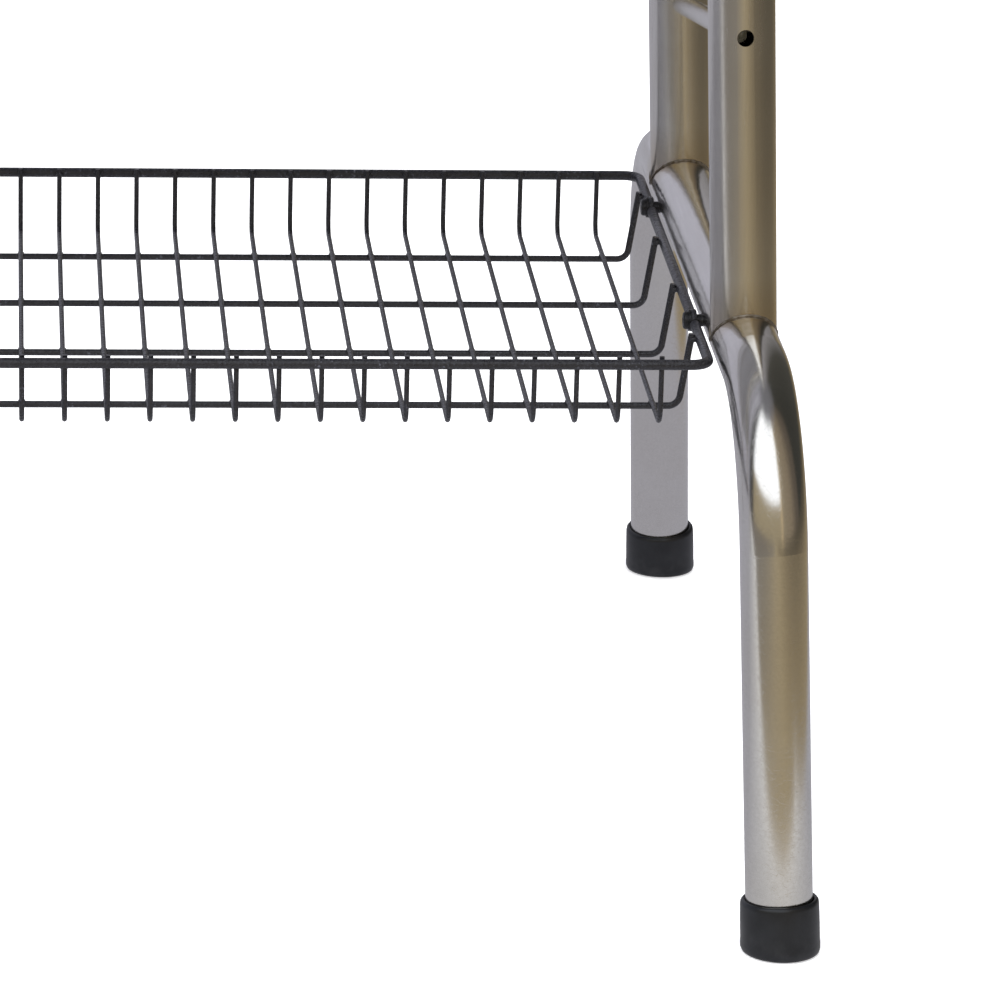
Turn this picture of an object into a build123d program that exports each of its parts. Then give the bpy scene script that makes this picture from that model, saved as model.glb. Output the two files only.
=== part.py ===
from build123d import *
from math import cos, radians, sin, sqrt, tan
import os

# Dish drying rack: two bent-tube end frames, a wire basket low down, and a dish rack
# with a sliding drip tray above it. Millimetres, +Z up, the front faces -Y.
# The origin is on the floor, in the middle.

# ---- end frames ----
TUBE_R = 19.0
TUBE_WALL = 1.5
ARCH_X = 482.5          # arch tube centre, out from the middle
ARCH_Z = 309.1          # arch tube centre, above the floor
ARCH_FLAT = 224.6       # half length of the arch's straight top
BEND_R = 86.0           # centre-line radius of the foot and top bends
LEG_SPLAY = 4.9         # degrees that each leg spreads to the front or rear
END_LEAN = 2.58         # degrees that each end frame leans in towards its top
POST_Y = 169.3
HOOP_RISE = 551.0       # top of the hoop's centre line above the arch
TUBE_END_Z = 8.0        # the leg tubes stop this far above the floor

# ---- foot caps ----
CAP_R = 22.3
CAP_FLARE_R = 22.8
CAP_GRIP = 24.0
CAP_SOLE = 12.0
CAP_LIP_R = 1.8

# ---- side tie rods ----
TIE_R = 6.1
TIE_MID_RISE = 146.2    # the rod's axis above the arch, midway between the posts
TIE_TILT = 10.4         # degrees that the rod climbs towards the front
TIE_SCREW_R = 2.5
TIE_SCREW_LENGTH = 18.0
TIE_HEAD_R = 4.2
TIE_HEAD = 5.0
TIE_HEAD_SEAT = 16.4    # from the post's axis to the face under the screw head
ACCESS_HOLE_R = 4.75
TIE_SCREW_HOLE_R = 2.75

# ---- crossbars ----
CROSSBAR_R = 12.5
CROSSBAR_WALL = 1.2
CROSSBARS = {"front": (-POST_Y, 526.0), "rear_lower": (POST_Y, 526.0), "rear_upper": (POST_Y, 758.0)}

# ---- wire work, the same for the basket and the dish rack ----
RIM_R = 3.0
LONG_R = 2.0
CROSS_R = 1.5
WELD_SINK = 0.15        # how far two crossing wires are pressed into each other
WIRE_Y = -7.0           # middle of the wire work, a little forward of the posts
RIM_HALF_Y = 203.3
RIM_CORNER_R = 22.0
WIRE_DEPTH = 36.6       # rim centre above the centre of the cross wires' floor
CROSS_PITCH = 24.0
CROSS_BEND_R = 9.0
CROSS_PROUD = 3.5       # wire ends above the rim's centre
LONG_SPACING = 101.7
LONG_COUNT = 4
LONG_BEND_R = 11.0
BASKET_RIM_X = 458.8
BASKET_RIM_Z = 305.9
BASKET_SCREW_Y = 122.0
RACK_RIM_X = 440.6
RACK_RIM_Z = 676.0

# ---- plate dividers on the dish rack ----
DIVIDER_R = 2.0
DIVIDER_RISE = 88.0
DIVIDER_TOP_R = 26.0
DIVIDER_PITCH = 2 * CROSS_PITCH
DIVIDER_FIRST_X = -420.0
DIVIDER_COUNT = 12

# ---- wire work fixings: screws through eyes flattened in the rim ----
EYE_R = 6.6
EYE_HALF = 1.6          # half the thickness of the flattened wire
SCREW_R = 2.5
HOLE_CLEARANCE = 0.05   # on the radius, where a screw or nut goes through a part
SCREW_HEAD_R = 5.2
SCREW_HEAD = 3.2
SCREW_LENGTH = 26.0
SCREW_SOCKET_R = 1.9
WASHER_R = 6.3
WASHER_THICK = 1.2
WASHER_HOLE_R = 2.65
SLEEVE_R = 3.6
RIVET_R = 4.0
RIVET_BULB_R = 5.4
RIVET_BULB = 3.0
RIVET_BULB_GAP = 0.3    # between the bulb and the inside of the tube's wall
RIVET_LENGTH = 11.0

# ---- drip tray and its rails ----
TRAY_Z = 566.0          # underside of the tray
TRAY_HALF_X = 434.0
TRAY_HALF_Y = 184.0
TRAY_HEIGHT = 26.0
TRAY_WALL = 1.5
TRAY_CORNER_R = 22.0
TRAY_LIP = 8.0
TRAY_PULL_WIDTH = 180.0
TRAY_PULL_REACH = 16.0
RAIL_GAP = 0.5
RAIL_THICK = 1.5
RAIL_FLANGE = 34.0
RAIL_WEB = 22.0
RAIL_SCREW_R = 2.0
RAIL_HOLE_R = 2.2
RAIL_SCREW_LENGTH = 10.0
RAIL_HEAD_R = 3.8
RAIL_HEAD = 2.2


def tube_along(path, outer_r, wall):
    """A round tube of constant wall swept along a wire."""
    start = Plane(origin=path @ 0, z_dir=path % 0)
    return sweep(start * Circle(outer_r), path) - sweep(start * Circle(outer_r - wall), path)


def rod_along(path, radius):
    """A solid round wire swept along a wire."""
    return sweep(Plane(origin=path @ 0, z_dir=path % 0) * Circle(radius), path)


def rod_between(start, end, radius):
    """A straight round rod from one point to another."""
    axis = Vector(*end) - Vector(*start)
    base = Plane(origin=start, z_dir=axis)
    return base * Cylinder(radius, axis.length, align=(Align.CENTER, Align.CENTER, Align.MIN))


def right_end(shape):
    """Set a shape drawn about the arch's centre in its place at the right end."""
    return Pos(ARCH_X, 0, ARCH_Z) * Rot(0, -END_LEAN, 0) * shape


def left_end(shape):
    """The mirror image of a right-end shape."""
    return mirror(shape, about=Plane.YZ)


def post_x(height):
    """X of a right-hand post's axis at a height above the floor."""
    return ARCH_X - (height - ARCH_Z) * tan(radians(END_LEAN))


# Shapes about the arch's centre: X out to the right, Y to the rear, Z up.

def leg_point(side, below_arch):
    """Centre of the leg at a distance below the arch; side is -1 front, 1 rear."""
    corner = ARCH_FLAT + BEND_R * tan(radians((90 - LEG_SPLAY) / 2))
    return Vector(0, side * (corner + below_arch * tan(radians(LEG_SPLAY))), -below_arch)


TUBE_END_DROP = (ARCH_Z - TUBE_END_Z) / cos(radians(END_LEAN))


def foot_arch():
    points = [
        leg_point(-1, TUBE_END_DROP),
        leg_point(-1, 0),
        leg_point(1, 0),
        leg_point(1, TUBE_END_DROP),
    ]
    return tube_along(FilletPolyline(*points, radius=BEND_R), TUBE_R, TUBE_WALL)


def arch_core():
    """The arch's straight top as a solid bar, which copes what is welded to it."""
    return rod_between((0, -ARCH_FLAT, 0), (0, ARCH_FLAT, 0), TUBE_R)


def post_core(y):
    return rod_between((0, y, 0), (0, y, HOOP_RISE - BEND_R), TUBE_R)


def tie_point(along):
    """A point on the tie rod's axis, measured to the front from midway."""
    tilt = radians(TIE_TILT)
    return Vector(0, -along * cos(tilt), TIE_MID_RISE + along * sin(tilt))


TIE_TO_POST = POST_Y / cos(radians(TIE_TILT))


def side_hoop():
    points = [(0, -POST_Y, 0), (0, -POST_Y, HOOP_RISE), (0, POST_Y, HOOP_RISE), (0, POST_Y, 0)]
    hoop = tube_along(FilletPolyline(*points, radius=BEND_R), TUBE_R, TUBE_WALL) - arch_core()
    for side in (-1, 1):
        inner = tie_point(side * (TIE_TO_POST - 2 * TUBE_R))
        outer = tie_point(side * (TIE_TO_POST + 2 * TUBE_R))
        middle = tie_point(side * TIE_TO_POST)
        hoop -= rod_between(inner, middle, TIE_SCREW_HOLE_R)
        hoop -= rod_between(middle, outer, ACCESS_HOLE_R)
    return hoop


def tie_rod():
    rod = rod_between(tie_point(-TIE_TO_POST), tie_point(TIE_TO_POST), TIE_R)
    for side in (-1, 1):
        rod -= post_core(side * POST_Y)
        bore_end = tie_point(side * (TIE_TO_POST - TUBE_R - TIE_SCREW_LENGTH))
        rod -= rod_between(bore_end, tie_point(side * TIE_TO_POST), TIE_SCREW_R + HOLE_CLEARANCE)
    return rod


def tie_screw(side):
    seat = TIE_TO_POST - TIE_HEAD_SEAT
    top = tie_point(side * (seat + TIE_HEAD))
    head = rod_between(tie_point(side * seat), top, TIE_HEAD_R)
    socket = rod_between(tie_point(side * (seat + TIE_HEAD / 2)), top, TIE_HEAD_R / 2)
    shank = rod_between(tie_point(side * (seat - TIE_SCREW_LENGTH)), tie_point(side * seat), TIE_SCREW_R)
    return head - socket + shank


# Shapes in the rack's own place.

def foot_cap(side):
    """Rubber cap on a right-hand leg, cut flat where it stands on the floor."""
    up = leg_point(side, 0) - leg_point(side, 1)
    outside = [(0, -CAP_SOLE), (CAP_FLARE_R, -CAP_SOLE), (CAP_R, CAP_GRIP)]
    inside = [(TUBE_R, CAP_GRIP), (TUBE_R, 0), (0, 0)]
    profile = Polyline(*outside, *inside, close=True)
    cap = revolve(Plane.XZ * make_face(profile), Axis.Z)
    rim = cap.edges().filter_by(GeomType.CIRCLE).group_by(Axis.Z)[-1].sort_by(SortBy.RADIUS)[-1]
    cap = fillet(rim, CAP_LIP_R)
    placed = right_end(Plane(origin=leg_point(side, TUBE_END_DROP), z_dir=up) * cap)
    return split(placed, bisect_by=Plane.XY, keep=Keep.TOP)


def crossbar(y, z):
    bar = rod_between((-post_x(z), y, z), (post_x(z), y, z), CROSSBAR_R)
    bar -= rod_between((-post_x(z), y, z), (post_x(z), y, z), CROSSBAR_R - CROSSBAR_WALL)
    post = right_end(post_core(y))
    return bar - post - left_end(post)


def wire_rim(rim_x, screw_y, rim_z):
    """A closed ring of wire with round corners, flattened into an eye at each screw."""
    ring = Pos(0, WIRE_Y, rim_z) * RectangleRounded(2 * rim_x, 2 * RIM_HALF_Y, RIM_CORNER_R).wire()
    rim = rod_along(ring, RIM_R)
    for side in (-1, 1):
        inner, outer = side * (rim_x - EYE_HALF), side * (rim_x + EYE_HALF)
        for y in (-screw_y, screw_y):
            rim += along_x(inner, outer, y, rim_z, EYE_R)
            rim -= along_x(inner, inner - side * RIM_R, y, rim_z, EYE_R)
            rim -= along_x(outer, outer + side * RIM_R, y, rim_z, EYE_R)
            rim -= along_x(inner, outer, y, rim_z, WASHER_HOLE_R)
    return rim


def long_wire(number, rim_x, rim_z):
    """A lengthwise wire under the floor, turned up at both ends inside the rim."""
    end_x = rim_x - RIM_R - LONG_R + WELD_SINK
    y = WIRE_Y + (number - (LONG_COUNT - 1) / 2) * LONG_SPACING
    low = rim_z - WIRE_DEPTH - CROSS_R - LONG_R + WELD_SINK
    top = rim_z + RIM_R
    points = [(-end_x, y, top), (-end_x, y, low), (end_x, y, low), (end_x, y, top)]
    return rod_along(FilletPolyline(*points, radius=LONG_BEND_R), LONG_R)


def cross_wire(x, rim_z):
    """A wire across the floor, turned up at the front and rear inside the rim."""
    half = RIM_HALF_Y - RIM_R - CROSS_R + WELD_SINK
    top = rim_z + CROSS_PROUD
    low = rim_z - WIRE_DEPTH
    front, rear = WIRE_Y - half, WIRE_Y + half
    points = [(x, front, top), (x, front, low), (x, rear, low), (x, rear, top)]
    return rod_along(FilletPolyline(*points, radius=CROSS_BEND_R), CROSS_R)


def cross_wires(rim_x, rim_z):
    first = cross_wire(0, rim_z)
    side = int((rim_x - RIM_CORNER_R - CROSS_R) // CROSS_PITCH)
    return [Pos(step * CROSS_PITCH, 0, 0) * first for step in range(-side, side + 1)]


def plate_divider(x, rim_z):
    """A hoop of wire welded between the two middle long wires, which keeps plates apart."""
    half = LONG_SPACING / 2 - LONG_R - DIVIDER_R + WELD_SINK
    foot = rim_z - WIRE_DEPTH - CROSS_R - 2 * LONG_R
    top = foot + DIVIDER_RISE
    front, rear = WIRE_Y - half, WIRE_Y + half
    points = [(x, front, foot), (x, front, top), (x, rear, top), (x, rear, foot)]
    return rod_along(FilletPolyline(*points, radius=DIVIDER_TOP_R), DIVIDER_R)


def along_x(start_x, end_x, y, z, radius):
    return rod_between((start_x, y, z), (end_x, y, z), radius)


def washer(rim_x, y, z):
    seat = rim_x - EYE_HALF
    disc = along_x(seat - WASHER_THICK, seat, y, z, WASHER_R)
    return disc - along_x(seat - WASHER_THICK, seat, y, z, WASHER_HOLE_R)


def screw(rim_x, y, z):
    """A round-headed screw through the rim's eye, with a hexagon socket."""
    seat = rim_x - EYE_HALF - WASHER_THICK
    head = along_x(seat - SCREW_HEAD, seat, y, z, SCREW_HEAD_R)
    head = fillet(head.edges().group_by(Axis.X)[0], SCREW_HEAD / 2)
    socket = extrude(RegularPolygon(SCREW_SOCKET_R, 6), SCREW_HEAD / 2)
    socket = Pos(seat - SCREW_HEAD, y, z) * Rot(0, 90, 0) * socket
    return head - socket + along_x(seat, seat + SCREW_LENGTH, y, z, SCREW_R)


def sleeve(rim_x, y, z, tube):
    """A short tube on the screw that fills the gap between the rim and the frame."""
    start = rim_x + EYE_HALF
    end = start + TUBE_R
    body = along_x(start, end, y, z, SLEEVE_R) - along_x(start, end, y, z, WASHER_HOLE_R)
    return (body - tube).solids().sort_by(Axis.X)[0]


def rivet_nut(rim_x, y, z, tube, tube_x, offset):
    """A blind nut flush in the tube's wall, with its bulb behind the wall."""
    face = tube_x - sqrt(TUBE_R**2 - offset**2)
    bulb = tube_x - sqrt((TUBE_R - TUBE_WALL) ** 2 - (offset + RIVET_BULB_R) ** 2) + RIVET_BULB_GAP
    body = along_x(face - TUBE_WALL * 2, face + RIVET_LENGTH, y, z, RIVET_R - HOLE_CLEARANCE) & tube
    body += along_x(bulb, bulb + RIVET_BULB, y, z, RIVET_BULB_R)
    return body - along_x(face - TUBE_R, face + TUBE_R, y, z, SCREW_R + HOLE_CLEARANCE)


def four(make, rim_x, screw_y, z, *more):
    """The same fixing at the two screws of each end."""
    right = [make(rim_x, y, z, *more) for y in (-screw_y, screw_y)]
    return right + [left_end(piece) for piece in right]


def tray_block(grow, z, height):
    """A slab with the tray's outline, grown outwards by a margin."""
    outline = RectangleRounded(2 * (TRAY_HALF_X + grow), 2 * (TRAY_HALF_Y + grow), TRAY_CORNER_R + grow)
    return Pos(0, 0, z) * extrude(outline, height)


def drip_tray():
    """A shallow tray with a flat lip and a finger pull at the front."""
    lip_z = TRAY_Z + TRAY_HEIGHT - TRAY_WALL
    outer = tray_block(0, TRAY_Z, TRAY_HEIGHT)
    inner = tray_block(-TRAY_WALL, TRAY_Z + TRAY_WALL, TRAY_HEIGHT)
    lip = tray_block(TRAY_LIP, lip_z, TRAY_WALL)
    pull = Box(TRAY_PULL_WIDTH, 2 * TRAY_PULL_REACH, TRAY_WALL)
    pull = Pos(0, -TRAY_HALF_Y - TRAY_LIP, lip_z + TRAY_WALL / 2) * pull
    return outer + lip + pull - inner


def rail_face_x():
    """X of the right-hand rail's outer face, just clear of the posts' inner sides."""
    return post_x(TRAY_Z) - TUBE_R / cos(radians(END_LEAN))


def tray_rail():
    """An angle strip from post to post that the end of the tray slides on."""
    face = rail_face_x()
    top = TRAY_Z - RAIL_GAP
    half = POST_Y + TUBE_R
    web = Pos(face - RAIL_THICK / 2, 0, rail_screw_z()) * Box(RAIL_THICK, 2 * half, RAIL_WEB)
    flange = Pos(face - RAIL_FLANGE / 2, 0, top - RAIL_THICK / 2) * Box(RAIL_FLANGE, 2 * half, RAIL_THICK)
    rail = web + flange
    for y in (-POST_Y, POST_Y):
        rail -= along_x(face - 2 * RAIL_THICK, face + RAIL_THICK, y, rail_screw_z(), RAIL_HOLE_R)
    return rail - right_end(post_core(-POST_Y)) - right_end(post_core(POST_Y))


def rail_screw_z():
    return TRAY_Z - RAIL_GAP - RAIL_THICK + RAIL_WEB / 2


def rail_screw(y):
    seat = rail_face_x() - RAIL_THICK
    head = along_x(seat - RAIL_HEAD, seat, y, rail_screw_z(), RAIL_HEAD_R)
    head = fillet(head.edges().group_by(Axis.X)[0], RAIL_HEAD / 2)
    return head + along_x(seat, seat + RAIL_SCREW_LENGTH, y, rail_screw_z(), RAIL_SCREW_R)


def save(node, *solids):
    shape = solids[0] if len(solids) == 1 else Compound(children=list(solids))
    shape.label = node
    export_step(shape, f"parts/{node}.step")


def save_wire_work(name, rim_x, screw_y, rim_z, tube, tube_x, offset):
    """The rim, wires and fixings of the basket or of the dish rack."""
    save(f"{name}_rim", wire_rim(rim_x, screw_y, rim_z))
    for number in range(LONG_COUNT):
        save(f"{name}_long_wire_{number + 1}", long_wire(number, rim_x, rim_z))
    save(f"{name}_cross_wires", *cross_wires(rim_x, rim_z))
    save(f"{name}_washers", *four(washer, rim_x, screw_y, rim_z))
    save(f"{name}_screws", *four(screw, rim_x, screw_y, rim_z))
    save(f"{name}_sleeves", *four(sleeve, rim_x, screw_y, rim_z, tube))
    save(f"{name}_rivet_nuts", *four(rivet_nut, rim_x, screw_y, rim_z, tube, tube_x, offset))


def drilled(tube, tube_x, screw_y, z, radius):
    """A tube with the holes for its two screws, drilled from its inner side."""
    for y in (-screw_y, screw_y):
        tube -= along_x(tube_x - 2 * TUBE_R, tube_x, y, z, radius)
    return tube


def main():
    os.makedirs("parts", exist_ok=True)
    arch = drilled(right_end(foot_arch()), ARCH_X, BASKET_SCREW_Y, BASKET_RIM_Z, RIVET_R)
    hoop = drilled(right_end(side_hoop()), post_x(RACK_RIM_Z), POST_Y, RACK_RIM_Z, RIVET_R)
    hoop = drilled(hoop, post_x(rail_screw_z()), POST_Y, rail_screw_z(), RAIL_SCREW_R + HOLE_CLEARANCE)
    tie = right_end(tie_rod())
    rail = tray_rail()
    for end, place in (("right", lambda shape: shape), ("left", left_end)):
        save(f"foot_arch_{end}", place(arch))
        save(f"side_hoop_{end}", place(hoop))
        save(f"tie_rod_{end}", place(tie))
        save(f"tray_rail_{end}", place(rail))
        save(f"foot_cap_front_{end}", place(foot_cap(-1)))
        save(f"foot_cap_rear_{end}", place(foot_cap(1)))
    for node, screws in (
        ("tie_rod_screws", [right_end(tie_screw(side)) for side in (-1, 1)]),
        ("tray_rail_screws", [rail_screw(y) for y in (-POST_Y, POST_Y)]),
    ):
        save(node, *screws, *[left_end(piece) for piece in screws])
    for name, (y, z) in CROSSBARS.items():
        save(f"crossbar_{name}", crossbar(y, z))
    arch_bar = right_end(arch_core())
    offset = abs(BASKET_RIM_Z - ARCH_Z)
    save_wire_work("basket", BASKET_RIM_X, BASKET_SCREW_Y, BASKET_RIM_Z, arch_bar, ARCH_X, offset)
    posts = right_end(post_core(-POST_Y) + post_core(POST_Y))
    save_wire_work("rack", RACK_RIM_X, POST_Y, RACK_RIM_Z, posts, post_x(RACK_RIM_Z), 0)
    places = [DIVIDER_FIRST_X + step * DIVIDER_PITCH for step in range(DIVIDER_COUNT)]
    save("plate_dividers", *[plate_divider(x, RACK_RIM_Z) for x in places])
    save("drip_tray", drip_tray())


main()
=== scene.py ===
from math import cos, pi, radians, sin, sqrt, tan
import bmesh
import bpy
from mathutils import Matrix, Vector


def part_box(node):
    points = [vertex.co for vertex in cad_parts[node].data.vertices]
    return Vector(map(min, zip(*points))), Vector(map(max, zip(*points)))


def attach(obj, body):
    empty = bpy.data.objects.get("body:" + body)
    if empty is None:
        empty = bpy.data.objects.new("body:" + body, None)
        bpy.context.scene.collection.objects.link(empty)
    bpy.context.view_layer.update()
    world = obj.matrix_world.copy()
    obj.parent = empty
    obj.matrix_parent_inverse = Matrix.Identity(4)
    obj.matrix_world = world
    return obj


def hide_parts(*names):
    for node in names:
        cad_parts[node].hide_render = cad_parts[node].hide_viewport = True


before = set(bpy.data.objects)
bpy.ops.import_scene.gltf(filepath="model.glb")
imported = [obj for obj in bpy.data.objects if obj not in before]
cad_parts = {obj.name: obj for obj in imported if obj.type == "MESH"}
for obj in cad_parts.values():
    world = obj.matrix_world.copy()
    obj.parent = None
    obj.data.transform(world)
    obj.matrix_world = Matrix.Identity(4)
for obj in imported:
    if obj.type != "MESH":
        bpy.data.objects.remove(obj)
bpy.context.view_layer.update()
STEEL_BODY = "rack_frame"

# ---------------------------------------------------------------- measures
# Places and sizes in metres: the post spacing is read from the frame's own parts, the other numbers
# here are given.


def size_of(node):
    low, high = (Vector(corner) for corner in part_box(node))
    return low, high, high - low


TUBE_R = 0.019              # frame tube
LEAN = radians(2.58)        # how far each end frame leans in
SPLAY = radians(4.9)        # how far each leg spreads
ARCH_Z = 0.3091             # middle of the arch's tube, at its top
ARCH_X = 0.4825
POST_Y = size_of("side_hoop_right")[1].y - TUBE_R


# ---------------------------------------------------------------- node helpers


class Shader:
    """A material's node tree with short calls for adding and joining nodes."""

    def __init__(self, tree):
        self.tree = tree

    def add(self, kind, **values):
        node = self.tree.nodes.new(kind)
        for name, value in values.items():
            setattr(node, name, value)
        return node

    def join(self, source, target):
        self.tree.links.new(source, target)

    def noise(self, vector, scale, detail=3.0, rough=0.5):
        node = self.add("ShaderNodeTexNoise")
        node.inputs["Scale"].default_value = scale
        node.inputs["Detail"].default_value = detail
        node.inputs["Roughness"].default_value = rough
        self.join(vector, node.inputs["Vector"])
        return node.outputs["Fac"]

    def spread(self, value, low, high, out_low=0.0, out_high=1.0):
        node = self.add("ShaderNodeMapRange")
        self.join(value, node.inputs["Value"])
        labels = ("From Min", "From Max", "To Min", "To Max")
        for label, number in zip(labels, (low, high, out_low, out_high)):
            put(self, number, node.inputs[label])
        return node.outputs["Result"]

    def math(self, kind, first, second=None):
        node = self.add("ShaderNodeMath", operation=kind)
        put(self, first, node.inputs[0])
        if second is not None:
            put(self, second, node.inputs[1])
        return node.outputs[0]

    def mix(self, fac, first, second, kind="MIX"):
        node = self.add("ShaderNodeMix", data_type="RGBA", blend_type=kind)
        put(self, fac, node.inputs[0])
        put(self, first, node.inputs[6])
        put(self, second, node.inputs[7])
        return node.outputs[2]


def put(shader, value, socket):
    """Set a socket to a number or colour, or join another socket to it."""
    if isinstance(value, bpy.types.NodeSocket):
        shader.join(value, socket)
    elif isinstance(value, tuple):
        socket.default_value = (*value, 1.0) if len(value) == 3 and socket.type == "RGBA" else value
    else:
        socket.default_value = value


def effect(name, inputs, outputs, build):
    """A node group with named inputs and outputs, filled in by build(shader, ins, outs)."""
    tree = bpy.data.node_groups.new(name, "ShaderNodeTree")
    for label, kind, default in inputs:
        socket = tree.interface.new_socket(label, in_out="INPUT", socket_type=kind)
        if default is not None:
            socket.default_value = default
    for label, kind in outputs:
        tree.interface.new_socket(label, in_out="OUTPUT", socket_type=kind)
    shader = Shader(tree)
    ins = shader.add("NodeGroupInput")
    outs = shader.add("NodeGroupOutput")
    build(shader, ins.outputs, outs.inputs)
    return tree


FLOAT, VECTOR = "NodeSocketFloat", "NodeSocketVector"


def build_speckle(shader, ins, outs):
    """Hammered powder coat: pebbles a millimetre across, with a bluish highlight painted on their tops.
    """
    cells = shader.add("ShaderNodeTexVoronoi", feature="SMOOTH_F1")
    shader.join(ins["Place"], cells.inputs["Vector"])
    shader.join(ins["Grain scale"], cells.inputs["Scale"])
    pebble = shader.spread(cells.outputs["Distance"], 0.05, 0.75, 1.0, 0.0)
    fine = shader.noise(ins["Place"], 2600.0, 2.0)
    height = shader.math("ADD", pebble, shader.math("MULTIPLY", fine, 0.35))
    patch = shader.noise(ins["Place"], 55.0, 4.0)
    # painted highlight mask: the pebble tops, broken up by patches
    painted_highlight = shader.spread(shader.math("MULTIPLY", pebble, patch), 0.42, 0.58)
    shader.join(height, outs["Height"])
    shader.join(painted_highlight, outs["Painted highlights"])
    shader.join(patch, outs["Patches"])


def build_polish(shader, ins, outs):
    """Polishing lines, cloudy smears and a few fine scratches on steel."""
    stretch = shader.add("ShaderNodeMapping")
    shader.join(ins["Place"], stretch.inputs["Vector"])
    shader.join(ins["Line stretch"], stretch.inputs["Scale"])
    lines = shader.noise(stretch.outputs["Vector"], 1.0, 6.0, 0.65)
    cloud = shader.noise(ins["Place"], 9.0, 5.0, 0.55)
    scratch = shader.add("ShaderNodeTexWave", wave_type="BANDS", bands_direction="DIAGONAL")
    shader.join(ins["Place"], scratch.inputs["Vector"])
    scratch.inputs["Scale"].default_value = 23.0
    scratch.inputs["Distortion"].default_value = 38.0
    scratch.inputs["Detail"].default_value = 4.0
    scratch.inputs["Detail Scale"].default_value = 2.0
    cut = shader.spread(scratch.outputs["Fac"], 0.992, 1.0)
    shader.join(lines, outs["Lines"])
    shader.join(cloud, outs["Cloud"])
    shader.join(cut, outs["Scratches"])


def build_floor_dust(shader, ins, outs):
    """A mask that fades in towards the floor, broken up by noise."""
    split = shader.add("ShaderNodeSeparateXYZ")
    shader.join(ins["Place"], split.inputs["Vector"])
    low = shader.spread(split.outputs["Z"], 0.0, ins["Reach"], 1.0, 0.0)
    spots = shader.spread(shader.noise(ins["Place"], 160.0, 5.0), 0.42, 0.7)
    shader.join(shader.math("MULTIPLY", low, spots), outs["Dust"])


SPECKLE = effect(
    "hammered coat",
    [("Place", VECTOR, None), ("Grain scale", FLOAT, 700.0)],
    [("Height", FLOAT), ("Painted highlights", FLOAT), ("Patches", FLOAT)],
    build_speckle,
)
POLISH = effect(
    "polishing marks",
    [("Place", VECTOR, None), ("Line stretch", VECTOR, (1.0, 1.0, 1.0))],
    [("Lines", FLOAT), ("Cloud", FLOAT), ("Scratches", FLOAT)],
    build_polish,
)
FLOOR_DUST = effect(
    "floor dust", [("Place", VECTOR, None), ("Reach", FLOAT, 0.12)], [("Dust", FLOAT)], build_floor_dust
)


def start_material(name):
    """A material with one Principled shader: (material, shader, principled, object place)."""
    material = bpy.data.materials.new(name)
    material.use_nodes = True
    shader = Shader(material.node_tree)
    principled = material.node_tree.nodes["Principled BSDF"]
    place = shader.add("ShaderNodeTexCoord").outputs["Object"]
    return material, shader, principled, place


def use(shader, tree, place, **values):
    """Place a shared effect in a material."""
    node = shader.add("ShaderNodeGroup", node_tree=tree)
    shader.join(place, node.inputs["Place"])
    for label, value in values.items():
        put(shader, value, node.inputs[label.replace("_", " ")])
    return node.outputs


def bump(shader, principled, height, strength, distance):
    node = shader.add("ShaderNodeBump")
    node.inputs["Strength"].default_value = strength
    node.inputs["Distance"].default_value = distance
    shader.join(height, node.inputs["Height"])
    shader.join(node.outputs["Normal"], principled.inputs["Normal"])


# ---------------------------------------------------------------- materials


def weld_heat(shader, place, spots, reach):
    """A mask round the given points, such as weld joints."""
    total = None
    for spot in spots:
        gap = shader.add("ShaderNodeVectorMath", operation="DISTANCE")
        shader.join(place, gap.inputs[0])
        gap.inputs[1].default_value = spot
        near = shader.spread(gap.outputs["Value"], TUBE_R, reach, 1.0, 0.0)
        total = near if total is None else shader.math("MAXIMUM", total, near)
    return total


def satin_tube(name, line_stretch, heat_spots, smooth, coarse):
    """Satin stainless tube, from smooth to coarse, straw-tinted by welds and dusty by the floor."""
    material, shader, principled, place = start_material(name)
    marks = use(shader, POLISH, place, Line_stretch=line_stretch)
    dust = use(shader, FLOOR_DUST, place, Reach=0.16)["Dust"]
    cloud = shader.spread(marks["Cloud"], 0.35, 0.65)
    steel = shader.mix(cloud, (0.74, 0.715, 0.675), (0.80, 0.785, 0.76))
    lines = shader.spread(marks["Lines"], 0.3, 0.7, 0.0, 0.35)
    steel = shader.mix(lines, steel, (0.60, 0.585, 0.56))
    heat = weld_heat(shader, place, heat_spots, 2.0 * TUBE_R)
    steel = shader.mix(shader.math("MULTIPLY", heat, 0.55), steel, (0.52, 0.43, 0.30))
    steel = shader.mix(shader.math("MULTIPLY", dust, 0.10), steel, (0.46, 0.44, 0.41))
    shader.join(steel, principled.inputs["Base Color"])
    principled.inputs["Metallic"].default_value = 1.0
    rough = shader.spread(marks["Lines"], 0.25, 0.75, smooth, coarse)
    rough = shader.math("ADD", rough, shader.spread(marks["Cloud"], 0.3, 0.7, -0.02, 0.05))
    rough = shader.math("ADD", rough, shader.math("MULTIPLY", dust, 0.06))
    shader.join(rough, principled.inputs["Roughness"])
    height = shader.math("SUBTRACT", marks["Lines"], shader.math("MULTIPLY", marks["Scratches"], 1.5))
    bump(shader, principled, height, 0.10, 0.00012)
    return material


def hammered_coat(name, grain_scale):
    """Charcoal powder coat with a hammered, slightly glossy surface."""
    material, shader, principled, place = start_material(name)
    coat = use(shader, SPECKLE, place, Grain_scale=grain_scale)
    colour = shader.mix(coat["Patches"], (0.006, 0.006, 0.009), (0.015, 0.015, 0.021))
    # painted highlight: the pebble tops are mixed towards a bluish grey
    colour = shader.mix(shader.math("MULTIPLY", coat["Painted highlights"], 0.6), colour, (0.120, 0.125, 0.155))
    shader.join(colour, principled.inputs["Base Color"])
    shader.join(shader.spread(coat["Height"], 0.2, 1.2, 0.46, 0.24), principled.inputs["Roughness"])
    principled.inputs["Coat Weight"].default_value = 0.35
    principled.inputs["Coat Roughness"].default_value = 0.18
    bump(shader, principled, coat["Height"], 1.0, 0.0008)
    return material


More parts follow.
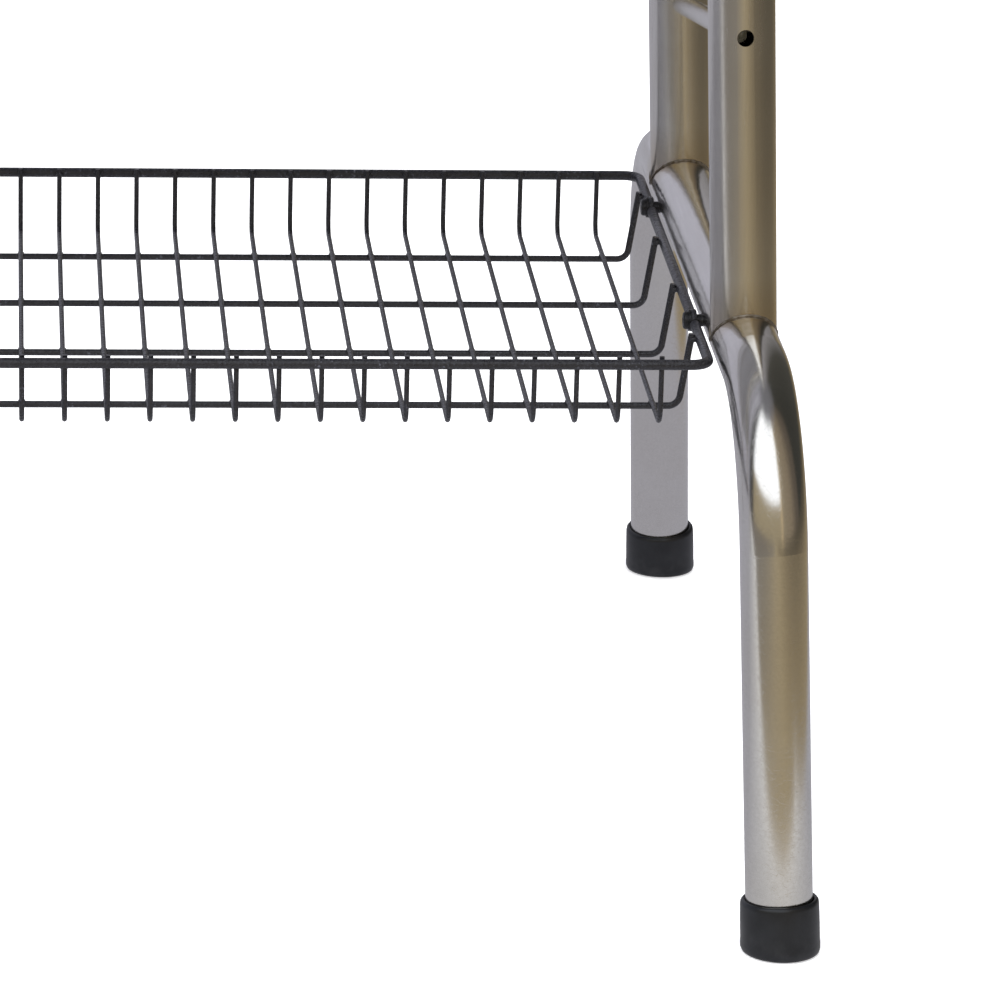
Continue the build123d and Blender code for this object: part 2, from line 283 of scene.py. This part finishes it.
def moulded_rubber(name):
    """Black rubber with a faint mould bloom and dust near the floor."""
    material, shader, principled, place = start_material(name)
    bloom = shader.noise(place, 60.0, 4.0)
    grain = shader.noise(place, 2400.0, 3.0)
    dust = use(shader, FLOOR_DUST, place, Reach=0.02)["Dust"]
    patch = shader.spread(bloom, 0.35, 0.7)
    colour = shader.mix(patch, (0.0040, 0.0046, 0.0062), (0.0085, 0.0095, 0.0120))
    colour = shader.mix(shader.math("MULTIPLY", dust, 0.12), colour, (0.10, 0.10, 0.10))
    shader.join(colour, principled.inputs["Base Color"])
    shader.join(shader.spread(bloom, 0.3, 0.7, 0.30, 0.40), principled.inputs["Roughness"])
    bump(shader, principled, grain, 0.12, 0.0002)
    return material


def brushed_sheet(name):
    """Brushed stainless sheet with its grain along the length."""
    material, shader, principled, place = start_material(name)
    marks = use(shader, POLISH, place, Line_stretch=(6.0, 1400.0, 1400.0))
    spots = shader.spread(shader.noise(place, 34.0, 5.0), 0.56, 0.74)
    steel = shader.mix(marks["Lines"], (0.56, 0.56, 0.565), (0.74, 0.74, 0.735))
    steel = shader.mix(shader.math("MULTIPLY", spots, 0.18), steel, (0.80, 0.80, 0.79))
    shader.join(steel, principled.inputs["Base Color"])
    principled.inputs["Metallic"].default_value = 1.0
    rough = shader.spread(marks["Lines"], 0.2, 0.8, 0.24, 0.36)
    rough = shader.math("ADD", rough, shader.math("MULTIPLY", spots, 0.1))
    shader.join(rough, principled.inputs["Roughness"])
    bump(shader, principled, marks["Lines"], 0.12, 0.0001)
    return material


def plated_steel(name):
    """Bright zinc on rivet nuts and hidden screws."""
    material, shader, principled, place = start_material(name)
    cloud = shader.noise(place, 420.0, 4.0)
    colour = shader.mix(cloud, (0.50, 0.53, 0.58), (0.74, 0.75, 0.72))
    shader.join(colour, principled.inputs["Base Color"])
    principled.inputs["Metallic"].default_value = 1.0
    shader.join(shader.spread(cloud, 0.3, 0.7, 0.25, 0.42), principled.inputs["Roughness"])
    bump(shader, principled, cloud, 0.1, 0.0002)
    return material


def black_oxide(name):
    """Oiled black screws, rubbed brighter in places."""
    material, shader, principled, place = start_material(name)
    cloud = shader.noise(place, 700.0, 5.0)
    rubbed = shader.spread(cloud, 0.58, 0.72)
    worn = shader.math("MULTIPLY", rubbed, 0.4)
    colour = shader.mix(worn, (0.022, 0.022, 0.024), (0.16, 0.155, 0.15))
    shader.join(colour, principled.inputs["Base Color"])
    principled.inputs["Metallic"].default_value = 0.6
    shader.join(shader.spread(cloud, 0.3, 0.7, 0.28, 0.46), principled.inputs["Roughness"])
    bump(shader, principled, cloud, 0.15, 0.0002)
    return material


def weld_metal(name):
    """Brushed-back weld seam, bronze and grey."""
    material, shader, principled, place = start_material(name)
    cloud = shader.noise(place, 330.0, 5.0)
    patch = shader.spread(cloud, 0.35, 0.65)
    colour = shader.mix(patch, (0.16, 0.125, 0.085), (0.34, 0.31, 0.27))
    shader.join(colour, principled.inputs["Base Color"])
    principled.inputs["Metallic"].default_value = 0.9
    shader.join(shader.spread(cloud, 0.3, 0.7, 0.34, 0.58), principled.inputs["Roughness"])
    bump(shader, principled, cloud, 0.4, 0.0003)
    return material


def joint_points():
    """The places where posts meet the arches, for the heat tint."""
    height = ARCH_Z + 0.4 * TUBE_R
    return [(side * ARCH_X, y, height) for side in (-1, 1) for y in (-POST_Y, POST_Y)]


TUBE_STEEL = satin_tube("satin stainless tube", (900.0, 900.0, 14.0), joint_points(), 0.17, 0.27)
BAR_STEEL = satin_tube("satin stainless crossbar", (14.0, 900.0, 900.0), joint_points(), 0.17, 0.27)
ARCH_STEEL = satin_tube("satin stainless arch", (700.0, 16.0, 700.0), joint_points(), 0.12, 0.19)
WIRE_COAT = hammered_coat("hammered charcoal coat", 600.0)
RUBBER = moulded_rubber("moulded black rubber")
SHEET = brushed_sheet("brushed stainless sheet")
ZINC = plated_steel("zinc plate")
BLACK = black_oxide("black oxide")
WELD = weld_metal("dressed weld")


# ---------------------------------------------------------------- shapes


def rounded_route(points, radius, steps=10):
    """A path through points whose corners are arcs of one radius."""
    route = [Vector(points[0])]
    for before, corner, after in zip(points, points[1:], points[2:]):
        corner = Vector(corner)
        back = (Vector(before) - corner).normalized()
        ahead = (Vector(after) - corner).normalized()
        half = back.angle(ahead) / 2
        centre = corner + (back + ahead).normalized() * radius / sin(half)
        first = corner + back * radius / tan(half) - centre
        last = corner + ahead * radius / tan(half) - centre
        axis = first.cross(last).normalized()
        turn = first.angle(last)
        for step in range(steps + 1):
            route.append(centre + Matrix.Rotation(turn * step / steps, 3, axis) @ first)
    route.append(Vector(points[-1]))
    return route


def wire_piece(name, routes, radius, nodes, closed=False, sides=4, thickness=None):
    """Coated wire along one or more routes, standing for CAD nodes."""
    curve = bpy.data.curves.new(name, "CURVE")
    curve.dimensions = "3D"
    curve.bevel_depth = radius
    curve.bevel_resolution = sides
    curve.use_fill_caps = True
    for route in routes:
        spline = curve.splines.new("POLY")
        spline.points.add(len(route) - 1)
        factors = thickness or [1.0] * len(route)
        for point, place, factor in zip(spline.points, route, factors):
            point.co = (*place, 1.0)
            point.radius = factor
        spline.use_cyclic_u = closed
        spline.use_smooth = True
    piece = bpy.data.objects.new(name, curve)
    bpy.context.collection.objects.link(piece)
    curve.materials.append(WIRE_COAT)
    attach(piece, STEEL_BODY)
    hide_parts(*nodes)
    return piece


def mesh_piece(name, mesh_maker, material):
    """A smooth-shaded mesh made by mesh_maker(shape), riding on the steel frame."""
    mesh = bpy.data.meshes.new(name)
    shape = bmesh.new()
    mesh_maker(shape)
    bmesh.ops.recalc_face_normals(shape, faces=shape.faces)
    shape.to_mesh(mesh)
    shape.free()
    mesh.materials.append(material)
    for face in mesh.polygons:
        face.use_smooth = True
    piece = bpy.data.objects.new(name, mesh)
    bpy.context.collection.objects.link(piece)
    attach(piece, STEEL_BODY)
    return piece


def ring_between(shape, first, second):
    """Join two rings of vertices with faces."""
    count = len(first)
    for index in range(count):
        after = (index + 1) % count
        shape.faces.new((first[index], first[after], second[after], second[index]))


SEAM_R = 0.0009
SEAM_SIDES = 8
SEAM_RIPPLE = 0.18          # how much the bead's thickness varies
POST_SEAM_STEPS = 72
BAR_SEAM_STEPS = 48


def bead(shape, points):
    """A closed bead of weld along points, with a slight ripple in its thickness."""
    rings = []
    count = len(points)
    for index, point in enumerate(points):
        ahead = (points[(index + 1) % count] - points[index - 1]).normalized()
        side = ahead.cross(Vector((0.31, 0.17, 0.93))).normalized()
        up = side.cross(ahead)
        thick = SEAM_R * (1.0 + SEAM_RIPPLE * sin(index * 2.1))
        ring = []
        for step in range(SEAM_SIDES):
            turn = 2 * pi * step / SEAM_SIDES
            ring.append(shape.verts.new(point + (side * cos(turn) + up * sin(turn)) * thick))
        rings.append(ring)
    for index in range(count):
        ring_between(shape, rings[index], rings[(index + 1) % count])


# ---------------------------------------------------------------- wire work

RIM_R = 0.003
RIM_CORNER_R = 0.010
RIM_CORNER_STEPS = 10
EYE_R = 0.0066              # the rim's flattened screw eyes
EYE_HALF = 0.0016           # half their thickness
EYE_HOLE_R = 0.00265
EYE_STEPS = 28
SCREW_HEAD_R = 0.0052
LONG_R = 0.002
LONG_BEND_R = 0.007
LONG_COUNT = 4
END_FLARE = 0.0065          # how far the long wires' ends slope outwards
CROSS_R = 0.0015
CROSS_BEND_R = 0.009
CROSS_PITCH = 0.024
DIVIDER_TOP_R = 0.026


def rim_ring(low, high, screw_y):
    """The rim's closed centre line and its thickness there, thinned at the screw eyes."""
    x0, y0, x1, y1 = low.x + RIM_R, low.y + RIM_R, high.x - RIM_R, high.y - RIM_R
    z = (low.z + high.z) / 2
    route, thickness = [], []
    for x, y, quarter in ((x1, y1, 0), (x0, y1, 1), (x0, y0, 2), (x1, y0, 3)):
        centre_x = x - RIM_CORNER_R if quarter in (0, 3) else x + RIM_CORNER_R
        centre_y = y - RIM_CORNER_R if quarter in (0, 1) else y + RIM_CORNER_R
        for step in range(RIM_CORNER_STEPS + 1):
            turn = pi / 2 * (quarter + step / RIM_CORNER_STEPS)
            across, depth = RIM_CORNER_R * cos(turn), RIM_CORNER_R * sin(turn)
            route.append(Vector((centre_x + across, centre_y + depth, z)))
            thickness.append(1.0)
        if quarter in (1, 3):
            along = 1 if quarter == 3 else -1
            thin = EYE_HALF / RIM_R
            for eye_y in (-along * screw_y, along * screw_y):
                for gap, factor in ((-1.5, 1.0), (-0.8, thin), (0.8, thin), (1.5, 1.0)):
                    route.append(Vector((x, eye_y + along * gap * EYE_R, z)))
                    thickness.append(factor)
    return route, thickness


def screw_eyes(shape, rim_x, screw_y, z):
    """The flattened eye round each of the rim's four screws."""
    profile = (
        (EYE_HOLE_R, -EYE_HALF), (EYE_HOLE_R, EYE_HALF), (0.9 * EYE_R, EYE_HALF),
        (0.975 * EYE_R, 0.8 * EYE_HALF), (EYE_R, 0.35 * EYE_HALF), (EYE_R, -0.35 * EYE_HALF),
        (0.975 * EYE_R, -0.8 * EYE_HALF), (0.9 * EYE_R, -EYE_HALF),
    )
    for x in (-rim_x, rim_x):
        for y in (-screw_y, screw_y):
            rings = []
            for radius, off in profile:
                turns = [2 * pi * step / EYE_STEPS for step in range(EYE_STEPS)]
                rings.append([
                    shape.verts.new((x + off, y + radius * cos(turn), z + radius * sin(turn)))
                    for turn in turns
                ])
            for first, second in zip(rings, rings[1:] + rings[:1]):
                ring_between(shape, first, second)


def wire_work(name):
    """Rim, long wires, cross wires and weld spots of the basket or the dish rack."""
    low, high, _ = size_of(f"{name}_rim")
    rim_z = (high.z + low.z) / 2
    screw_y = size_of(f"{name}_screws")[1].y - SCREW_HEAD_R
    route, thickness = rim_ring(low, high, screw_y)
    wire_piece(f"{name}_rim_wire", [route], RIM_R, [f"{name}_rim"], True, 6, thickness)

    def eyes(shape):
        screw_eyes(shape, high.x - RIM_R, screw_y, rim_z)

    mesh_piece(f"{name}_rim_eyes", eyes, WIRE_COAT)
    spots = []
    for number in range(1, LONG_COUNT + 1):
        node = f"{name}_long_wire_{number}"
        start, end, _ = size_of(node)
        y, base = (start.y + end.y) / 2, start.z + LONG_R
        x0, x1 = start.x + LONG_R, end.x - LONG_R
        points = [
            (x0, y, end.z), (x0 + END_FLARE, y, base), (x1 - END_FLARE, y, base), (x1, y, end.z)
        ]
        wire_piece(f"{node}_coated", [rounded_route(points, LONG_BEND_R)], LONG_R, [node])
        spots += [((x, y, rim_z), 1.35 * LONG_R) for x in (x0 - 0.5 * LONG_R, x1 + 0.5 * LONG_R)]
    start, end, size = size_of(f"{name}_cross_wires")
    count = round((size.x - 2 * CROSS_R) / CROSS_PITCH)
    y0, y1, base = start.y + CROSS_R, end.y - CROSS_R, start.z + CROSS_R
    routes = []
    for step in range(count + 1):
        x = start.x + CROSS_R + step * CROSS_PITCH
        points = [(x, y0, end.z), (x, y0, base), (x, y1, base), (x, y1, end.z)]
        routes.append(rounded_route(points, CROSS_BEND_R, 6))
        spots += [((x, y, rim_z), 1.3 * CROSS_R) for y in (y0 - 0.6 * CROSS_R, y1 + 0.6 * CROSS_R)]
        for number in range(1, LONG_COUNT + 1):
            along, _, _ = size_of(f"{name}_long_wire_{number}")
            spots.append(((x, along.y + LONG_R, base - 0.9 * CROSS_R), 1.25 * CROSS_R))
    wire_piece(f"{name}_cross_wires_coated", routes, CROSS_R, [f"{name}_cross_wires"])

    def spot_shapes(shape):
        for place, radius in spots:
            matrix = Matrix.Translation(place) @ Matrix.Diagonal((1.25, 1.25, 0.8, 1.0))
            bmesh.ops.create_icosphere(shape, subdivisions=1, radius=radius, matrix=matrix)

    mesh_piece(f"{name}_weld_spots", spot_shapes, WIRE_COAT)


def dividers():
    """Plate dividers as smooth coated hoops."""
    low, high, size = size_of("plate_dividers")
    pitch = 2 * CROSS_PITCH
    count = round((size.x - 2 * LONG_R) / pitch)
    y0, y1 = low.y + LONG_R, high.y - LONG_R
    routes = []
    for step in range(count + 1):
        x = low.x + LONG_R + step * pitch
        points = [(x, y0, low.z), (x, y0, high.z - LONG_R), (x, y1, high.z - LONG_R), (x, y1, low.z)]
        routes.append(rounded_route(points, DIVIDER_TOP_R, 12))
    wire_piece("plate_divider_hoops", routes, LONG_R, ["plate_dividers"])


# ---------------------------------------------------------------- end frames


def leaning(point, side):
    """A point drawn about the arch's centre, set in its place at one end."""
    x = point.x * cos(LEAN) - point.z * sin(LEAN)
    z = point.x * sin(LEAN) + point.z * cos(LEAN)
    return Vector((side * (ARCH_X + x), point.y, ARCH_Z + z))


def weld_seams(shape):
    """The fish-mouth seam where each post meets its arch."""
    for side in (-1, 1):
        for y in (-POST_Y, POST_Y):
            points = []
            for step in range(POST_SEAM_STEPS):
                turn = 2 * pi * step / POST_SEAM_STEPS
                across = TUBE_R * cos(turn)
                rise = sqrt(max(TUBE_R**2 - across**2, 0.0)) * 1.01
                points.append(leaning(Vector((across, y + TUBE_R * sin(turn), rise)), side))
            bead(shape, points)


def crossbar_seams(shape):
    """The seam round each end of each crossbar."""
    for node in ("crossbar_front", "crossbar_rear_lower", "crossbar_rear_upper"):
        low, high, size = size_of(node)
        bar_r = size.z / 2
        y, z = (low.y + high.y) / 2, (low.z + high.z) / 2
        axis_x = ARCH_X - (z - ARCH_Z) * tan(LEAN)
        for side in (-1, 1):
            points = []
            for step in range(BAR_SEAM_STEPS):
                turn = 2 * pi * step / BAR_SEAM_STEPS
                off_y = bar_r * cos(turn)
                inset = sqrt(TUBE_R**2 - off_y**2)
                x = axis_x - bar_r * sin(turn) * tan(LEAN) - inset
                points.append(Vector((side * x, y + off_y, z + bar_r * sin(turn))))
            bead(shape, points)


CAP_STEPS = 64
CAP_TILT_ALLOWANCE = 0.0019     # how far the lip's tilt raises its high side
SOLE_FADE = 0.012               # height over which the level sole turns square to the leg


def cap_profile(height):
    """Radius and height of the rubber cap's outside, from the sole to the inner lip."""
    return [
        (0.0205, 0.0), (0.0220, 0.0006), (0.0226, 0.0022), (0.0226, 0.0050), (0.0224, 0.0068),
        (0.0224, 0.5 * height), (0.0222, height - 0.0030), (0.0219, height - 0.0012),
        (0.0211, height - 0.0002), (0.0202, height), (0.0194, height - 0.0005),
        (0.0191, height - 0.0022),
    ]


def cap_shape(shape, centre, up, height):
    """One cap: level at the sole, and square to the leg from a little above it."""
    rings = []
    for radius, rise in cap_profile(height):
        ring = []
        fade = min(1.0, rise / SOLE_FADE)
        for step in range(CAP_STEPS):
            turn = 2 * pi * step / CAP_STEPS
            point = centre + Vector((radius * cos(turn), radius * sin(turn), 0.0))
            tilt = -(up.x * cos(turn) + up.y * sin(turn)) * radius * fade
            ring.append(shape.verts.new(point + Vector((up.x * rise, up.y * rise, up.z * rise + tilt))))
        rings.append(ring)
    for first, second in zip(rings, rings[1:]):
        ring_between(shape, first, second)
    shape.faces.new(rings[0])


def foot_caps():
    """Rubber caps with a rounded lip and a soft foot edge, in line with each leg."""
    for end, side in (("left", -1), ("right", 1)):
        for place, front in (("front", -1), ("rear", 1)):
            node = f"foot_cap_{place}_{end}"
            low, high, size = size_of(node)
            up = Vector((-side * tan(LEAN), -front * tan(SPLAY), 1.0)).normalized()
            height = (size.z - 2 * CAP_TILT_ALLOWANCE) / up.z
            middle = Vector(((low.x + high.x) / 2, (low.y + high.y) / 2, 0.0))
            centre = middle - Vector((up.x, up.y, 0.0)) * (height / 2)

            def cap(shape, centre=centre, up=up, height=height):
                cap_shape(shape, centre, up, height)

            piece = mesh_piece(f"{node}_rubber", cap, RUBBER)
            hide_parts(node)


# ---------------------------------------------------------------- finishes on CAD parts

FINISHES = {
    "foot_arch": ARCH_STEEL, "side_hoop": TUBE_STEEL, "crossbar": BAR_STEEL,
    "tie_rod_left": TUBE_STEEL, "tie_rod_right": TUBE_STEEL, "tie_rod_screws": ZINC,
    "drip_tray": SHEET, "tray_rail_left": SHEET, "tray_rail_right": SHEET, "tray_rail_screws": ZINC,
}


def finish_for(node):
    """The material of a CAD part that stays in view."""
    if node.endswith("rivet_nuts"):
        return ZINC
    for start, material in FINISHES.items():
        if node.startswith(start):
            return material
    return BLACK


def finish_cad_parts():
    for name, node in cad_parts.items():
        node.data.materials.clear()
        node.data.materials.append(finish_for(name))


# ---------------------------------------------------------------- floor, room and lights


def look_up(shader, value, stops):
    """A colour ramp through (place, colour) stops."""
    ramp = shader.add("ShaderNodeValToRGB")
    shader.join(value, ramp.inputs["Fac"])
    points = ramp.color_ramp.elements
    while len(points) < len(stops):
        points.new(1.0)
    for point, (place, colour) in zip(points, stops):
        point.position = place
        point.color = (*colour, 1.0)
    return ramp.outputs["Color"]


def floor_material():
    """A pale studio floor; steel sees a glowing room floor with painted light instead: a pale sweep in
    front, a painted shadow of the rack under and behind it, brown further off.
    """
    material = bpy.data.materials.new("studio floor")
    material.use_nodes = True
    shader = Shader(material.node_tree)
    tree = material.node_tree
    tree.nodes.clear()
    out = shader.add("ShaderNodeOutputMaterial")
    pale = shader.add("ShaderNodeBsdfDiffuse")
    pale.inputs["Color"].default_value = (0.86, 0.86, 0.87, 1.0)
    glow = shader.add("ShaderNodeEmission")
    glow.inputs["Color"].default_value = (1.0, 1.0, 1.0, 1.0)
    glow.inputs["Strength"].default_value = 0.42
    shown = shader.add("ShaderNodeAddShader")
    shader.join(pale.outputs[0], shown.inputs[0])
    shader.join(glow.outputs[0], shown.inputs[1])
    place = shader.add("ShaderNodeNewGeometry").outputs["Position"]
    split = shader.add("ShaderNodeSeparateXYZ")
    shader.join(place, split.inputs[0])
    across = shader.spread(split.outputs["X"], -1.4, 2.8)
    boards = look_up(shader, across, [
        (0.0, (0.20, 0.18, 0.16)), (0.26, (0.25, 0.23, 0.20)), (0.40, (0.38, 0.32, 0.22)),
        (0.50, (0.40, 0.33, 0.21)), (0.62, (0.31, 0.25, 0.155)), (0.78, (0.18, 0.145, 0.095)),
        (1.0, (0.10, 0.085, 0.06)),
    ])
    # painted shadow: the reflected sweep goes from pale at its front edge to grey under and behind the
    # rack
    near = shader.spread(split.outputs["Y"], -0.62, 0.1)
    sweep_with_painted_shadow = look_up(shader, near, [
        (0.0, (0.80, 0.79, 0.79)), (0.25, (0.60, 0.60, 0.62)), (0.6, (0.42, 0.42, 0.46)),
        (1.0, (0.42, 0.42, 0.47)),
    ])
    front_edge = shader.spread(split.outputs["Y"], -0.60, -0.66, 0.0, 1.0)
    right_edge = shader.spread(split.outputs["X"], 0.90, 0.98)
    colour = shader.mix(shader.math("MAXIMUM", front_edge, right_edge), sweep_with_painted_shadow, boards)
    # painted reflection: glossy rays see this glowing room floor instead of the pale floor
    seen = shader.add("ShaderNodeEmission")
    shader.join(colour, seen.inputs["Color"])
    path = shader.add("ShaderNodeLightPath")
    swap = shader.add("ShaderNodeMixShader")
    shader.join(path.outputs["Is Glossy Ray"], swap.inputs[0])
    shader.join(shown.outputs[0], swap.inputs[1])
    shader.join(seen.outputs[0], swap.inputs[2])
    shader.join(swap.outputs[0], out.inputs["Surface"])
    return material


FLOOR_HALF = 40.0
FLOOR_GAP = 0.0002          # keeps the floor just clear of the soles


def build_floor():
    mesh = bpy.data.meshes.new("floor")
    half = FLOOR_HALF
    corners = [(-half, -half, 0), (half, -half, 0), (half, half, 0), (-half, half, 0)]
    mesh.from_pydata(corners, [], [(0, 1, 2, 3)])
    floor = bpy.data.objects.new("floor", mesh)
    floor.location.z = -FLOOR_GAP
    bpy.context.collection.objects.link(floor)
    mesh.materials.append(floor_material())


def build_room():
    """A pale room with a bright front left and brown right side, which only reflections show."""
    world = bpy.data.worlds.new("studio")
    bpy.context.scene.world = world
    world.use_nodes = True
    shader = Shader(world.node_tree)
    background = world.node_tree.nodes["Background"]
    facing = shader.add("ShaderNodeTexCoord").outputs["Generated"]
    split = shader.add("ShaderNodeSeparateXYZ")
    shader.join(facing, split.inputs[0])
    across, depth, rise = split.outputs
    flat = shader.add("ShaderNodeCombineXYZ")
    shader.join(across, flat.inputs[0])
    shader.join(depth, flat.inputs[1])
    level = shader.add("ShaderNodeVectorMath", operation="NORMALIZE")
    shader.join(flat.outputs[0], level.inputs[0])
    turn = shader.add("ShaderNodeSeparateXYZ")
    shader.join(level.outputs[0], turn.inputs[0])
    around = turn.outputs["X"]
    behind = turn.outputs["Y"]
    above_sill = shader.spread(rise, 0.36, 0.42)
    window = shader.mix(above_sill, (0.38, 0.32, 0.21), (1.45, 1.50, 1.58))
    right = look_up(shader, shader.spread(around, 0.3, 1.0), [
        (0.0, (0.85, 0.66, 0.40)), (0.14, (0.62, 0.48, 0.29)), (0.26, (0.32, 0.27, 0.19)),
        (0.8, (0.26, 0.21, 0.15)), (1.0, (0.12, 0.10, 0.08)),
    ])
    front = shader.mix(shader.spread(around, 0.32, 0.40), window, right)
    sides = shader.mix(shader.spread(around, -0.1, 0.1), (0.07, 0.07, 0.072), (0.12, 0.10, 0.08))
    flank = shader.mix(shader.spread(behind, -0.30, -0.20), front, sides)
    back = look_up(shader, shader.spread(around, -1.0, 1.0), [
        (0.0, (0.45, 0.45, 0.52)), (0.45, (0.52, 0.52, 0.60)), (0.62, (0.30, 0.29, 0.30)),
        (0.75, (0.07, 0.068, 0.06)), (1.0, (0.045, 0.045, 0.04)),
    ])
    sky = shader.mix(shader.spread(behind, -0.06, 0.08), flank, back)
    sky = shader.mix(shader.spread(rise, 0.93, 0.985), sky, (0.18, 0.18, 0.20))
    path = shader.add("ShaderNodeLightPath")
    sky = shader.mix(path.outputs["Is Diffuse Ray"], sky, (0.90, 0.90, 0.93))
    sky = shader.mix(path.outputs["Is Camera Ray"], sky, (1.0, 1.0, 1.0))
    shader.join(sky, background.inputs["Color"])


def area_light(name, place, target, width, height, power, colour):
    """A soft lamp that lights surfaces but isn't mirrored in the steel."""
    light = bpy.data.lights.new(name, "AREA")
    light.shape = "RECTANGLE"
    light.size, light.size_y = width, height
    light.energy = power
    light.color = colour
    lamp = bpy.data.objects.new(name, light)
    lamp.location = place
    lamp.visible_glossy = False
    lamp.rotation_euler = (Vector(target) - Vector(place)).to_track_quat("-Z", "Y").to_euler()
    bpy.context.collection.objects.link(lamp)


def build_lights():
    middle = (0.0, 0.0, 0.4)
    area_light("overhead softbox", (-0.3, -0.4, 3.2), middle, 3.0, 2.4, 62.0, (0.97, 0.98, 1.0))
    area_light("left softbox", (-2.6, -1.8, 1.7), middle, 1.3, 2.0, 34.0, (0.93, 0.95, 1.0))
    area_light("front right fill", (2.2, -2.6, 1.3), middle, 0.7, 1.6, 14.0, (1.0, 0.95, 0.86))
    area_light("rear softbox", (1.0, 2.8, 2.2), middle, 2.2, 1.4, 24.0, (1.0, 1.0, 1.0))


# ---------------------------------------------------------------- camera

CAMERA_PLACE = (0.06484, -3.4265, 1.2882)
CAMERA_YAW = 0.086
CAMERA_PITCH = 0.318
CAMERA_ROLL = 0.028
CAMERA_LENS = 216.0


def build_camera():
    data = bpy.data.cameras.new("camera")
    data.sensor_width = 36.0
    data.lens = CAMERA_LENS
    data.clip_end = 200.0
    camera = bpy.data.objects.new("camera", data)
    ahead = Vector((
        sin(CAMERA_YAW) * cos(CAMERA_PITCH), cos(CAMERA_YAW) * cos(CAMERA_PITCH), -sin(CAMERA_PITCH)
    ))
    level = Vector((cos(CAMERA_YAW), -sin(CAMERA_YAW), 0.0))
    up = level.cross(ahead)
    right = level * cos(CAMERA_ROLL) + up * sin(CAMERA_ROLL)
    up = right.cross(ahead)
    turn = Matrix((right, up, -ahead)).transposed()
    camera.matrix_world = Matrix.Translation(CAMERA_PLACE) @ turn.to_4x4()
    bpy.context.collection.objects.link(camera)
    bpy.context.scene.camera = camera
    bpy.context.scene.view_settings.view_transform = "Standard"


# ---------------------------------------------------------------- build

finish_cad_parts()
wire_work("basket")
wire_work("rack")
dividers()
foot_caps()
mesh_piece("post_weld_seams", weld_seams, WELD)
mesh_piece("crossbar_weld_seams", crossbar_seams, WELD)
build_floor()
build_room()
build_lights()
build_camera()
